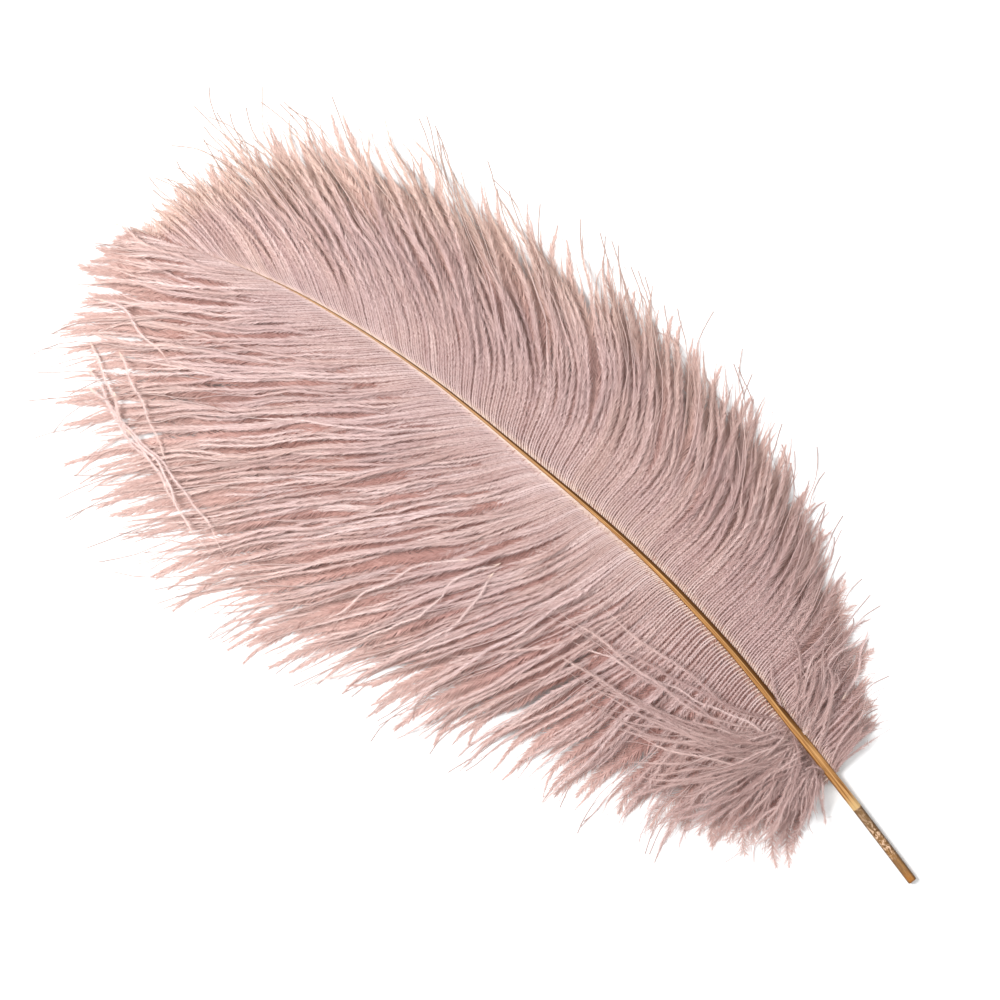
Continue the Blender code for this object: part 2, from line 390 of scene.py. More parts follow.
def goldenShaft():
    material, tree = newMaterial("golden_shaft")
    look = shaftTones
    mapPlace = addNode(tree, "ShaderNodeUVMap", {"uv_map": "OFBake"})[0]
    parts = addNode(tree, "ShaderNodeSeparateXYZ", None, {0: mapPlace})
    along, around = parts[0] * shaftLength, parts[1]

    def noise(alongScale, aroundScale, detail, twist=0.0):
        place = addNode(tree, "ShaderNodeCombineXYZ", None, {
            0: along * alongScale, 1: around * aroundScale})[0]
        return addNode(tree, "ShaderNodeTexNoise", None, {
            "Vector": place, "Scale": 1.0, "Detail": detail, "Roughness": 0.6, "Distortion": twist})[0]

    def mix(factor, a, b):
        return mixColour(tree, factor, a, b)

    fibre = noise(0.06, 34.0, 3.0)
    blotch = noise(0.35, 5.0, 4.0)
    pulp = noise(0.30, 3.4, 4.0, 2.4)
    # around is 0 and 1 on top, 0.25 at the right vane's edge and 0.75 at the left vane's edge
    golden = mix(fibre.ramp(0.38, 0.62), *look["gold"])
    golden = mix(blotch.ramp(0.45, 0.75) * 0.35, golden, look["goldBlotch"])
    # painted highlight: a lighter line along the top of the shaft
    crestHighlight = around.ramp(0.985, 0.998) + (1 - around.ramp(0.02, 0.045))
    golden = mix(crestHighlight * 0.40, golden, look["crestHighlight"])
    # painted shade: a thin darker line left of the crest, for a groove's shade
    groove = around.ramp(0.915, 0.935) * (1 - around.ramp(0.95, 0.97))
    golden = mix(groove * 0.6, golden, look["groove"])
    golden = mix(along.ramp(*look["upperReach"]) * 0.70, golden, look["upperShaft"])
    # painted shade: a dark line along the shaft's left edge
    leftEdgeShade = around.ramp(0.75, 0.79) * (1 - around.ramp(0.84, 0.87))
    golden = mix(leftEdgeShade * 0.85, golden, look["leftEdgeShade"])
    # painted shade: the right side, turned from the light, is painted dark brown from the first barbs on
    shade = around.ramp(0.004, 0.030) * (1 - around.ramp(0.235, 0.26)) * along.ramp(*look["rightShadeReach"])
    golden = mix(shade * (0.97 - along.ramp(*look["rightShadeFade"]) * 0.35), golden, look["rightShade"])
    pithStart = shaftLook["pithStart"]
    paleFrom, paleTo = look["paleReach"]
    paleEnd = (1 - along.ramp(pithStart + paleFrom, pithStart + paleTo)) * 0.7
    golden = mix(paleEnd, golden, look["paleEnd"])
    # the clear quill: amber, with crumpled bright pith before the opaque shaft
    amber = mix(fibre.ramp(0.35, 0.65), *look["amber"])
    amber = mix(blotch.ramp(0.40, 0.62) * 0.65, amber, look["amberBlotch"])
    cutEnd = (1 - along.ramp(*look["cutReach"])) * (0.45 + blotch.ramp(0.40, 0.60) * 0.55)
    amber = mix(cutEnd, amber, look["cutEnd"])
    amber = mix((1 - along.ramp(*look["rimReach"])) * 0.6, amber, look["cutRim"])
    amber = mix(along.ramp(*look["smokyReach"]) * 0.75, amber, look["smoky"])
    pulpBand = along.ramp(*look["pulpReach"]) * (1 - along.ramp(*look["pulpFade"]) * 0.7)
    pulpBits = pulp.ramp(0.52, 0.57) * (1 - pulp.ramp(0.62, 0.72) * 0.7) * pulpBand
    amber = mix(pulpBits * 0.9, amber, look["pulp"])
    # painted shade: dark lines in the creases beside the pale pulp bits
    creases = pulp.ramp(0.40, 0.43) * (1 - pulp.ramp(0.45, 0.48)) * pulpBand
    amber = mix(creases * 0.9, amber, look["creaseShade"])
    # painted shade: darker lines along both sides of the clear quill
    quillRight = around.ramp(0.06, 0.14) * (1 - around.ramp(0.26, 0.30))
    quillLeft = around.ramp(0.72, 0.75) * (1 - around.ramp(0.82, 0.90))
    amber = mix((quillRight * 0.75).math("MAXIMUM", quillLeft * 0.7), amber, look["quillEdgeShade"])
    quill = 1 - along.ramp(pithStart - 0.15, pithStart + 0.15)
    tone = mix(quill, golden, amber)
    bump = addNode(tree, "ShaderNodeBump", None, {
        "Strength": 0.6, "Distance": 0.0004, "Height": pulp * quill + fibre * 0.3})[0]
    shader = addNode(tree, "ShaderNodeBsdfPrincipled", None, {
        "Base Color": tone, "Roughness": 0.50 - quill * 0.10, "Coat Weight": quill * look["quillCoat"],
        "Normal": bump, "Coat Roughness": 0.2, "Specular IOR Level": 0.16})[0]
    addNode(tree, "ShaderNodeOutputMaterial", None, {"Surface": shader})
    return material


shaftSkin.data.materials.append(goldenShaft())
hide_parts("shaft")
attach(shaftSkin, body)


# Where a barb and its barbules lie on the map: one row for each barb
mapLook = {"half": 0.42, "root": 0.12, "hairHalf": 0.1, "bladeWidth": 1.6}

# The barbs' paths
stepPlaces = np.linspace(0, 1, barbLook["steps"]) ** barbLook["stepPower"]


def growBarbs(roots, side, shape, fan=0.0, tipCurl=0.0):
    # centre lines in mm of barbs that start at these distances, side +1 left or -1 right
    rootTurn, tipTurn, length, bend = [np.reshape(values, (-1, 1)) for values in shape]
    start = shaftAt(roots)
    heading = shaftHeading(roots)
    middle = 0.5 * (stepPlaces[1:] + stepPlaces[:-1])
    gone = length * middle
    turn = tipTurn + (rootTurn - tipTurn) / (1 + (gone / bend) ** barbLook["bendPower"])
    turn = turn - barbLook["hook"] * np.exp(-gone / barbLook["hookLength"])
    turn = turn + np.reshape(fan, (-1, 1)) * middle
    turn = np.radians(turn + np.reshape(tipCurl, (-1, 1)) * smoothStep(middle, barbLook["curlStart"], 1.0))
    step = length * np.diff(stepPlaces)
    offset = barbLook["inset"] * start[:, 3]
    points = np.zeros((len(roots), barbLook["steps"], 3))
    points[:, :, 0] = (start[:, 0] - side * offset * np.sin(heading))[:, None]
    points[:, :, 1] = (start[:, 1] + side * offset * np.cos(heading))[:, None]
    points[:, 1:, 0] += np.cumsum(step * np.cos(turn), 1)
    points[:, 1:, 1] += side * np.cumsum(step * np.sin(turn), 1)
    fall = np.minimum(1, stepPlaces / barbLook["touchDown"])
    rootHeight = start[:, 2, None] + barbLook["seat"] * start[:, 3, None]
    points[:, :, 2] = rootHeight * (1 - fall) ** barbLook["droop"]
    crown = barbLook["crown"] * np.minimum(1, length / barbLook["fullCrown"])
    points[:, :, 2] += crown * 4 * fall * (1 - fall)
    return points


def fromTable(roots, table):
    rows = np.array(table)
    return [np.interp(roots, rows[:, 0], rows[:, i]) for i in range(1, rows.shape[1])]


def wander(rng, lengths, wavelength):
    # smooth swings along each path, about -1 to 1: a long wave and one about half as long
    place = lengths[:, None] * stepPlaces
    total = 0
    for scale, size in ((1.0, 0.6), (0.53, 0.4)):
        phase = rng.uniform(0, 2 * np.pi, (len(lengths), 1))
        stretch = rng.uniform(0.8, 1.25, (len(lengths), 1))
        total = total + size * np.sin(2 * np.pi * place / (wavelength * scale * stretch) + phase)
    return total


def lockNumbers(rng, count, least, most):
    # which lock each barb belongs to
    sizes = rng.integers(least, most + 1, count)
    return np.repeat(np.arange(count), sizes)[:count]


def drawTogether(points, lock, pull, start, full):
    # barbs of one lock close up towards their tips
    number = np.bincount(lock)
    mean = np.zeros((len(number),) + points.shape[1:])
    np.add.at(mean, lock, points)
    mean /= number[:, None, None]
    weight = (pull * smoothStep(stepPlaces, start, full))[None, :, None]
    return points + (mean[lock] - points) * weight


def pathFrames(points):
    ahead = unit(np.gradient(points, axis=1))
    across = unit(np.cross((0.0, 0.0, 1.0), ahead))
    return ahead, across, np.cross(ahead, across)


def readAt(values, which, place):
    # value at a fractional step of each path
    low = np.minimum(place.astype(int), values.shape[1] - 2)
    part = (place - low)[:, None]
    return values[which, low] * (1 - part) + values[which, low + 1] * part


def makeRamus(barbs, look):
    # three-sided hairs, flat and broad at the root and thinning to the tip, one row of the map each
    points, lengths = barbs["points"], barbs["length"]
    count, steps = points.shape[:2]
    ahead, across, up = pathFrames(points)
    broad, fine, broadReach = look["ramus"]
    gone = lengths[:, None] * stepPlaces
    thick = fine * (1 + (barbs["hair"][:, None] - 1) * stepPlaces) * (1 - look["thinning"] * stepPlaces)
    thick = thick + (broad - fine) * np.exp(-(gone / broadReach) ** 2)
    rise = np.minimum(thick, fine * look["ramusRise"])
    corners = [points + thick[..., None] * math.cos(a) * across + rise[..., None] * math.sin(a) * up
               for a in np.radians((90, 210, 330))]
    base = (np.arange(count)[:, None] * steps + np.arange(steps - 1))[:, :, None] * 3
    j = np.arange(3)
    k = (j + 1) % 3
    quads = np.stack([base + j, base + 3 + j, base + 3 + k, base + k], -1).reshape(-1, 4)
    shape = (count, steps, 3)
    along = np.broadcast_to(stepPlaces[None, :, None], shape)
    row = np.broadcast_to(((np.arange(count) + 0.5) / count)[:, None, None], shape)
    pale, fall, fallFrom, fallTo = look["hairFleck"]
    return {
        "points": np.stack(corners, 2).reshape(-1, 3),
        "faces": np.concatenate([quads[:, [0, 1, 2]], quads[:, [0, 2, 3]]]),
        "map": np.stack([along, row + (j - 1) * mapLook["hairHalf"] / count], -1).reshape(-1, 2),
        "along": along.ravel(),
        "fromShaft": (lengths[:, None, None] * along).ravel(),
        "tint": np.broadcast_to(barbs["tint"][:, None, None], shape).ravel(),
        "hue": np.broadcast_to(barbs["hue"][:, None, None], shape).ravel(),
        "fleck": (pale - fall * smoothStep(along, fallFrom, fallTo)).ravel(),
        "fringe": np.zeros(along.size),
    }


def makeBarbules(barbs, look, rng):
    # small tapering blades along both sides of every barb
    points, lengths = barbs["points"], barbs["length"]
    count, steps = points.shape[:2]
    ahead, across, up = pathFrames(points)
    number = np.maximum((lengths * look["perMm"]).astype(int), 4)
    which = np.repeat(np.arange(count), number)
    total = len(which)
    order = np.arange(total) - (np.cumsum(number) - number)[which]
    part = np.clip((order + rng.uniform(0.1, 0.9, total)) / number[which], 0, 0.995)
    sideSign = np.where(order % 2 == 0, 1.0, -1.0)
    step = part ** (1 / barbLook["stepPower"]) * (steps - 1)
    root, t, b, n = [readAt(v, which, step) for v in (points, ahead, across, up)]
    t, b, n = unit(t), unit(b), unit(n)
    fromRoot = part * lengths[which]
    outward = smoothStep(fromRoot, *look["growth"])
    soft = barbs["fluff"][which] * outward
    tipStart = rng.uniform(*look["tipStart"], count)[which] - look["wispTip"] * (barbs["hair"][which] - 1)
    thinTip = 1 - look["tipTaper"] * smoothStep((part - tipStart) / look["tipSpan"], 0, 1)

    def nearFar(title):
        near, far = look[title]
        return near + (far - near) * outward

    fluff = look["fluff"]
    size = nearFar("length") * (1 + fluff["longer"] * soft) * thinTip * rng.uniform(0.7, 1.2, total)
    spread = nearFar("angle") + fluff["wider"] * soft
    spread = spread + rng.normal(0, look["angleSpread"], total) * (1 + soft)
    spread = np.radians(spread * (0.4 + 0.6 * thinTip))
    rough = nearFar("liftSpread") + fluff["rougher"] * soft
    lift = np.radians(nearFar("lift") + rng.normal(0, 1, total) * rough)
    side = sideSign[:, None] * b * np.cos(lift)[:, None] + n * np.sin(lift)[:, None]
    out = unit(np.cos(spread)[:, None] * t + np.sin(spread)[:, None] * side)
    face = unit(n + rng.normal(0, look["tilt"], (total, 3)))
    width = (look["width"] * (0.5 + 0.5 * thinTip) * (1 - fluff["finer"] * soft))[:, None]
    wide = unit(np.cross(out, face)) * width * 0.5
    loose = look["curl"] * (1 + 2 * soft)[:, None]
    end = out * size[:, None] + rng.normal(0, 1, (total, 3)) * loose * size[:, None]
    blade = np.stack([root - wide, root + wide, root + end], 1)
    fringe, shift = np.array([0.0, 0.0, 1.0]), np.array([-0.5, 0.5, 0.0])
    u = np.clip(part[:, None] + mapLook["bladeWidth"] * shift / number[which][:, None], 0, 1)
    outer = mapLook["root"] + (1 - mapLook["root"]) * fringe
    v = (which[:, None] + 0.5 + mapLook["half"] * sideSign[:, None] * outer) / count
    return {
        "points": blade.reshape(-1, 3),
        "faces": np.arange(total * 3).reshape(-1, 3),
        "map": np.stack([u, v], -1).reshape(-1, 2),
        "along": np.repeat(part, 3),
        "fromShaft": np.repeat(fromRoot, 3),
        "tint": np.repeat(barbs["tint"][which], 3),
        "hue": np.repeat(barbs["hue"][which], 3),
        "fleck": np.repeat(rng.uniform(0, 1, total), 3),
        "fringe": np.tile(fringe, total),
    }


def makeBarbs(name, barbs, look, rng, material):
    # barbs and their barbules as one mesh, in place of the vane that its name begins with
    groups = [makeBarbules(barbs, look, rng)]
    if look["ramus"]:
        groups.insert(0, makeRamus(barbs, look))
    starts = np.cumsum([0] + [len(group["points"]) for group in groups])
    allPoints = np.concatenate([group["points"] for group in groups])
    allPoints[:, 2] = np.maximum(allPoints[:, 2], look["floor"])
    faces = np.concatenate([group["faces"] + start for group, start in zip(groups, starts)])
    layers = {title: np.concatenate([group[title] for group in groups]) for title in barbLayers}
    mapPlace = np.concatenate([group["map"] for group in groups])
    piece = fromArrays(name, allPoints + slideMm, faces, layers, mapPlace)
    piece.data.materials.append(material)
    node = name.split("_")[0] + "_vane"
    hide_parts(node)
    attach(piece, body)
    print(name, len(barbs["points"]), "barbs", len(faces), "triangles")


def barbSet(rng, points, length, tint, hue, fluff=0.0, hair=1.0):
    # tint and hue are a middle value and a spread
    count = len(points)
    return {
        "points": points,
        "length": length,
        "tint": np.clip(rng.normal(*tint, count), 0, 1),
        "hue": np.clip(rng.normal(*hue, count), 0, 1),
        "fluff": np.zeros(count) + fluff,
        "hair": np.zeros(count) + hair,
    }


barbLayers = ("along", "fromShaft", "tint", "hue", "fleck", "fringe")


def barbMaterial(name, look):
    material, tree = newMaterial(name)
    along, fromShaft, tint, hue, fleck, fringe = [
        addNode(tree, "ShaderNodeAttribute", {"attribute_name": title})[2] for title in barbLayers]
    place = addNode(tree, "ShaderNodeTexCoord")[3]
    clouds = addNode(tree, "ShaderNodeTexNoise", None, {
        "Vector": place, "Scale": look["cloudScale"], "Detail": 3.0, "Roughness": 0.55})[0]
    toTip = addNode(tree, "ShaderNodeSeparateXYZ", None, {0: place})[0].ramp(*look["baseToTip"])
    tone = mixColour(tree, tint, look["deep"], look["light"])
    tone = mixColour(tree, hue * look["hueShare"], tone, look["peach"])
    tone = mixColour(tree, clouds.ramp(0.42, 0.68) * look["cloudShare"], tone, look["mauve"])
    # towards the base the barbs take the base tone: more mauve, their own colour, and darker, painted shade
    # for the light falling off there
    tone = mixColour(tree, (1 - toTip) * look["baseMauveAndShade"], tone, look["base"])
    tone = mixColour(tree, along.ramp(0.45, 0.92) * toTip * look["peachTip"], tone, look["peach"])
    tone = mixColour(tree, along.ramp(0.5, 1.0) * look["tipFade"], tone, look["tip"])
    atShaft = 1 - fromShaft.ramp(0.3, look["creamReach"])
    tone = mixColour(tree, atShaft * look["creamShare"], tone, look["cream"])
    near = 1 - fromShaft.ramp(*look["fringeReach"]) * 0.6
    tone = mixColour(tree, fringe * near * look["fringeShade"], tone, look["shadow"])
    tone = mixColour(tree, (1 - fleck) * look["fleckShade"], tone, look["shadow"])
    glossy = addNode(tree, "ShaderNodeBsdfPrincipled", None, {
        "Base Color": tone, "Roughness": 0.55, "Specular IOR Level": 0.35})[0]
    through = addNode(tree, "ShaderNodeBsdfTranslucent", None, {"Color": tone})[0]
    both = addNode(tree, "ShaderNodeMixShader", None, {0: look["through"], 1: glossy, 2: through})[0]
    addNode(tree, "ShaderNodeOutputMaterial", None, {"Surface": both})
    return material


# The barbs' colours, and how much of each comes in
leftTones = {
    "deep": (0.57, 0.39, 0.36, 1),
    "light": (0.85, 0.69, 0.67, 1),
    "mauve": (0.66, 0.495, 0.495, 1),
    "peach": (0.87, 0.68, 0.59, 1),
    "base": (0.72, 0.54, 0.52, 1),
    "tip": (0.80, 0.63, 0.59, 1),
    "cream": (0.86, 0.69, 0.55, 1),
    "shadow": (0.30, 0.135, 0.11, 1),
    "hueShare": 0.25,
    # baseMauveAndShade: share of the base tone, partly the barbs' own mauve, partly painted shade
    "baseMauveAndShade": 0.32,
    "peachTip": 0.40,
    "tipFade": 0.35,
    "cloudScale": 28.0,
    "cloudShare": 0.45,
    "baseToTip": (-0.14, 0.12),     # metres along the feather
    "creamReach": 3.2,              # mm from the shaft
    "creamShare": 0.6,
    "fringeReach": (8.0, 45.0),
    "fringeShade": 0.24,
    "fleckShade": 0.46,
    "through": 0.20,
}
rightTones = dict(
    leftTones, deep=(0.57, 0.39, 0.37, 1), light=(0.84, 0.65, 0.62, 1), mauve=(0.61, 0.455, 0.46, 1),
    base=(0.58, 0.41, 0.40, 1), tip=(0.60, 0.45, 0.42, 1), peach=(0.91, 0.71, 0.58, 1), peachTip=0.95)
# The layers below the vanes: darker copies of the pink as painted shade, lighter towards their tips
underShadedTones = dict(
    leftTones, deep=(0.45, 0.235, 0.20, 1), light=(0.62, 0.37, 0.33, 1), mauve=(0.47, 0.28, 0.26, 1),
    base=(0.44, 0.245, 0.22, 1), tip=(0.78, 0.59, 0.54, 1), cream=(0.42, 0.23, 0.165, 1),
    peach=(0.62, 0.37, 0.30, 1), tipFade=0.8, through=0.22, fleckShade=0.3)
rightUnderShadedTones = dict(
    underShadedTones, deep=(0.50, 0.30, 0.27, 1), light=(0.68, 0.45, 0.41, 1), peach=(0.90, 0.68, 0.55, 1),
    peachTip=0.9)
downTones = dict(
    leftTones, deep=(0.47, 0.31, 0.29, 1), light=(0.95, 0.76, 0.72, 1), base=(0.60, 0.43, 0.41, 1),
    cream=(0.56, 0.39, 0.35, 1), fringeShade=0.40, fleckShade=0.45, baseMauveAndShade=0.25)
strayTones = dict(
    leftTones, deep=(0.68, 0.50, 0.47, 1), light=(0.87, 0.71, 0.68, 1), mauve=(0.74, 0.57, 0.55, 1),
    fringeShade=0.06, fleckShade=0.18, tipFade=0.1)
leftMaterial = barbMaterial("pink_barbs_left", leftTones)
rightMaterial = barbMaterial("pink_barbs_right", rightTones)
underMaterial = barbMaterial("pink_barbs_under", underShadedTones)
rightUnderMaterial = barbMaterial("pink_barbs_under_right", rightUnderShadedTones)
downMaterial = barbMaterial("pink_down", downTones)
strayMaterial = barbMaterial("pink_stray", strayTones)

# The left vane's barbs, drawn together into small and large locks; the other looks start from these
vaneLook = {
    "barbs": 320,
    "reach": 1.06,
    "lengthSpread": 0.08,
    "wisps": 0.14,
    "wispReach": (1.02, 1.14),
    "wispHair": 4.0,       # how much thicker a wisp's bare end is
    "fanSpread": 6.0,      # degrees
    "tipBend": 12.0,       # degrees that the last part of a barb turns away from the tip
    "tipCurl": 16.0,
    "loose": 0.15,         # part of the barbs that leave their lock and cross others
    "looseFan": 13.0,
    "looseRise": 1.1,
    "spare": (11.0, 6.2),                # mm outside the solids, along and across
    "fluffRoots": (62.0, 128.0),
    "baseRoots": (48.0, 84.0),           # the first barbs spread out, from and to these roots
    "baseFan": 20.0,
    "baseLength": (-0.35, 0.12),         # how much shorter or longer they are
    "smallLock": (1, 3),
    "smallPull": (0.58, 0.08, 0.45),     # share, from and to this part of the length
    "largeLock": (5, 9),
    "largePull": (0.20, 0.35, 1.0),
    "swing": 1.0,          # mm sideways
    "swingWaves": (58.0, 30.0),          # mm, a lock's own and a single barb's
    "rise": 1.4,           # mm up and down
    "riseWave": 56.0,
    "free": (3.0, 36.0),   # mm from the shaft over which barbs come free to swing
    "lowest": 0.25,        # mm, the lowest that a barb lies
    "tint": (0.5, 0.16, 0.24),           # middle, spread of barbs, spread of locks
    "hue": (0.4, 0.1, 0.33),
    "sink": 0.4,           # mm below the solid's own height
    "sinkReach": 5.0,
    "perMm": 8.0,
    "floor": 0.05,         # mm, the lowest that a barbule lies
    "ramus": (0.34, 0.085, 7.0),         # mm at the root, further out, and where it changes
    "ramusRise": 1.6,      # its height at most, over its width further out
    "thinning": 0.5,
    "hairFleck": (0.85, 0.6, 0.75, 0.95),  # pale, and by how much and where the end is darker
    "length": (0.92, 3.3),               # barbules, mm near the shaft and further out
    "growth": (3.0, 38.0),               # mm from the shaft over which barbules change
    "fluff": {"longer": 0.3, "wider": 20.0, "rougher": 16.0, "finer": 0.45},
    "wispTip": 0.12,       # how much sooner a wisp is bare
    "angle": (40.0, 13.0),
    "angleSpread": 5.0,
    "lift": (-9.0, -13.0),
    "liftSpread": (14.0, 32.0),
    "tipTaper": 0.93,
    "tipStart": (0.55, 0.85),            # part of the length where the barbules start to shorten
    "tipSpan": 0.25,
    "curl": 0.05,
    "tilt": 0.35,
    "width": 0.21,
}
# A darker layer close below, so that no floor shows between the locks; its darker tones are painted shade
underLook = dict(
    vaneLook, barbs=270, reach=1.01, lengthSpread=0.07, wisps=0.0, loose=0.0, fanSpread=2.5, tipCurl=9.0,
    smallPull=(0.05, 0.1, 0.6), largePull=(0.04, 0.2, 0.8), swing=1.2, rise=0.5, sink=1.7,
    ramus=None, perMm=6.0, length=(2.0, 4.4), angle=(56.0, 27.0), lift=(0.0, 0.0),
    liftSpread=(12.0, 24.0), width=0.38, tipTaper=0.95, tipStart=(0.62, 0.86), tipSpan=0.28)
rightUnderLook = dict(underLook, reach=0.97, tipStart=(0.58, 0.82))
# The right vane's barbs are softer and less parted
rightLook = dict(
    vaneLook, reach=1.03, wisps=0.24, wispReach=(1.06, 1.26), tipBend=0.0, tipCurl=26.0,
    smallPull=(0.36, 0.12, 0.55), largePull=(0.24, 0.45, 1.0), swing=0.9, rise=0.65,
    angle=(40.0, 19.0), lift=(-9.0, -5.0), liftSpread=(16.0, 38.0), tipStart=(0.50, 0.80), tipSpan=0.28)
# Roots stand closer together where a vane fans out: distance from the cut end, and how close
crowding = {
    "left": (
        (47, 0.9), (122, 0.95), (140, 1.6), (163, 2.2), (200, 2.0), (225, 1.4), (260, 1.0), (352, 0.9)),
    "right": ((47, 1.0), (115, 1.0), (140, 1.2), (180, 1.2), (200, 1.0), (352, 1.0)),
}


def spreadRoots(rng, count, sideName):
    # root distances, close to even by the crowding, with a little chance
    place, share = np.array(crowding[sideName]).T
    fine = np.linspace(place[0], place[-1], 600)
    work = np.cumsum(np.interp(fine, place, share))
    even = (np.arange(count) + rng.uniform(0.32, 0.68, count)) / count
    return np.interp(even * work[-1], work, fine)


def vanePaths(side, sideName, look, rng):
    count = look["barbs"]
    roots = spreadRoots(rng, count, sideName)
    rootTurn, tipTurn, length, bend = fromTable(roots, barbLook[sideName])
    length = length * look["reach"] * (1 + rng.uniform(-1, 1, count) * look["lengthSpread"])
    hair = np.ones(count)
    if look["wisps"]:
        wisp = rng.uniform(0, 1, count) < look["wisps"]
        length *= np.where(wisp, rng.uniform(*look["wispReach"], count), 1.0)
        hair[wisp] = look["wispHair"]
    loose = rng.uniform(0, 1, count) < look["loose"]
    atBase = 1 - smoothStep(roots, *look["baseRoots"])
    fanSpread = np.where(loose, look["looseFan"], look["fanSpread"]) + look["baseFan"] * atBase
    fan = rng.normal(0, 1, count) * fanSpread
    length *= 1 + rng.uniform(*look["baseLength"], count) * atBase
    tipCurl = rng.normal(look["tipBend"], look["tipCurl"], count)
    points = growBarbs(roots, side, (rootTurn, tipTurn, length, bend), fan, tipCurl)
    alone = points.copy()
    small = lockNumbers(rng, count, *look["smallLock"])
    large = lockNumbers(rng, count, *look["largeLock"])
    points = drawTogether(points, large, *look["largePull"])
    points = drawTogether(points, small, *look["smallPull"])
    points[loose] = alone[loose]
    across = pathFrames(points)[1]
    locks = small.max() + 1
    lockLength = np.bincount(small, length) / np.bincount(small)
    lockWave, barbWave = look["swingWaves"]
    swing = wander(rng, lockLength, lockWave)[small] + wander(rng, length, barbWave) * 0.35
    rise = wander(rng, lockLength, look["riseWave"])[small] + rng.uniform(-1, 1, locks)[small][:, None]
    rise = rise * look["rise"] + look["looseRise"] * loose[:, None]
    gone = length[:, None] * stepPlaces
    out = smoothStep(gone, *look["free"])
    points = points + across * (swing * look["swing"] * out)[..., None]
    points[..., 2] += rise * out - look["sink"] * smoothStep(gone, 0, look["sinkReach"])
    points[..., 2] = np.maximum(points[..., 2], look["lowest"])
    keepInside(points, look["spare"])
    fluff = 1 - smoothStep(roots, *look["fluffRoots"])
    barbs = barbSet(rng, points, length, look["tint"][:2], look["hue"][:2], fluff, hair)
    for title in ("tint", "hue"):
        barbs[title] = np.clip(barbs[title] + rng.normal(0, look[title][2], locks)[small], 0, 1)
    return barbs


def keepInside(points, spare):
    # longer hairs shrink towards their roots, to end this far outside the solids' box or nearer
    low, high = [np.array(corner)[:2] / mm - slideMm[:2] for corner in cadBox]
    root = points[:, 0, :2]
    reach = points[:, -1, :2] - root
    room = np.where(reach > 0, high + spare - root, root - low + spare)
    share = np.minimum(1, room / np.maximum(np.abs(reach), 1e-6)).min(1)
    points[..., :2] = root[:, None] + (points[..., :2] - root[:, None]) * share[:, None, None]


def takeBarbs(barbs, keep):
    return {title: values[keep] for title, values in barbs.items()}


vanePoints = []
for side, sideName, look, material, lowerLook, lowerMaterial, seed in (
        (1, "left", vaneLook, leftMaterial, underLook, underMaterial, 5),
        (-1, "right", rightLook, rightMaterial, rightUnderLook, rightUnderMaterial, 8)):
    rng = np.random.default_rng(seed)
    barbs = vanePaths(side, sideName, look, rng)
    vanePoints.append(barbs["points"].reshape(-1, 3))
    # three pieces by place along the shaft, each small enough for the export
    work = np.cumsum(barbs["length"])
    ends = np.searchsorted(work, work[-1] * np.array([1, 2]) / 3)
    for zone, keep in zip(("base", "middle", "tip"), np.split(np.arange(len(work)), ends)):
        makeBarbs(f"{sideName}_barbs_{zone}", takeBarbs(barbs, keep), look, rng, material)
    barbs = vanePaths(side, sideName, lowerLook, rng)
    makeBarbs(f"{sideName}_under", barbs, lowerLook, rng, lowerMaterial)

# Where loose barbs lie on the vanes
surface = mathutils.kdtree.KDTree(sum(len(points) for points in vanePoints))
for i, point in enumerate(np.concatenate(vanePoints)):
    surface.insert((point[0], point[1], 0.0), i)
surface.balance()
surfaceHeight = np.concatenate(vanePoints)[:, 2]
surfaceLook = {"points": 6, "farthest": 4.0, "beside": 0.4, "smoothing": 3}   # beside: height off the vanes


def layOnVane(points, above, free=0.25):
    # heights of loose barbs: from their own root to just over the vane below
    reach = surfaceLook["smoothing"]
    window = 2 * reach + 1
    for path, over in zip(points, above):
        for step, point in enumerate(path):
            near = surface.find_n((point[0], point[1], 0.0), surfaceLook["points"])
            height = surfaceLook["beside"]
            if min(item[2] for item in near) < surfaceLook["farthest"]:
                height = max(surfaceHeight[item[1]] for item in near)
            blend = smoothStep(stepPlaces[step], 0.0, free) if free else 1.0
            point[2] = path[0, 2] * (1 - blend) + (height + over) * blend
        path[:, 2] = np.convolve(np.pad(path[:, 2], reach, "edge"), np.ones(window) / window, "valid")


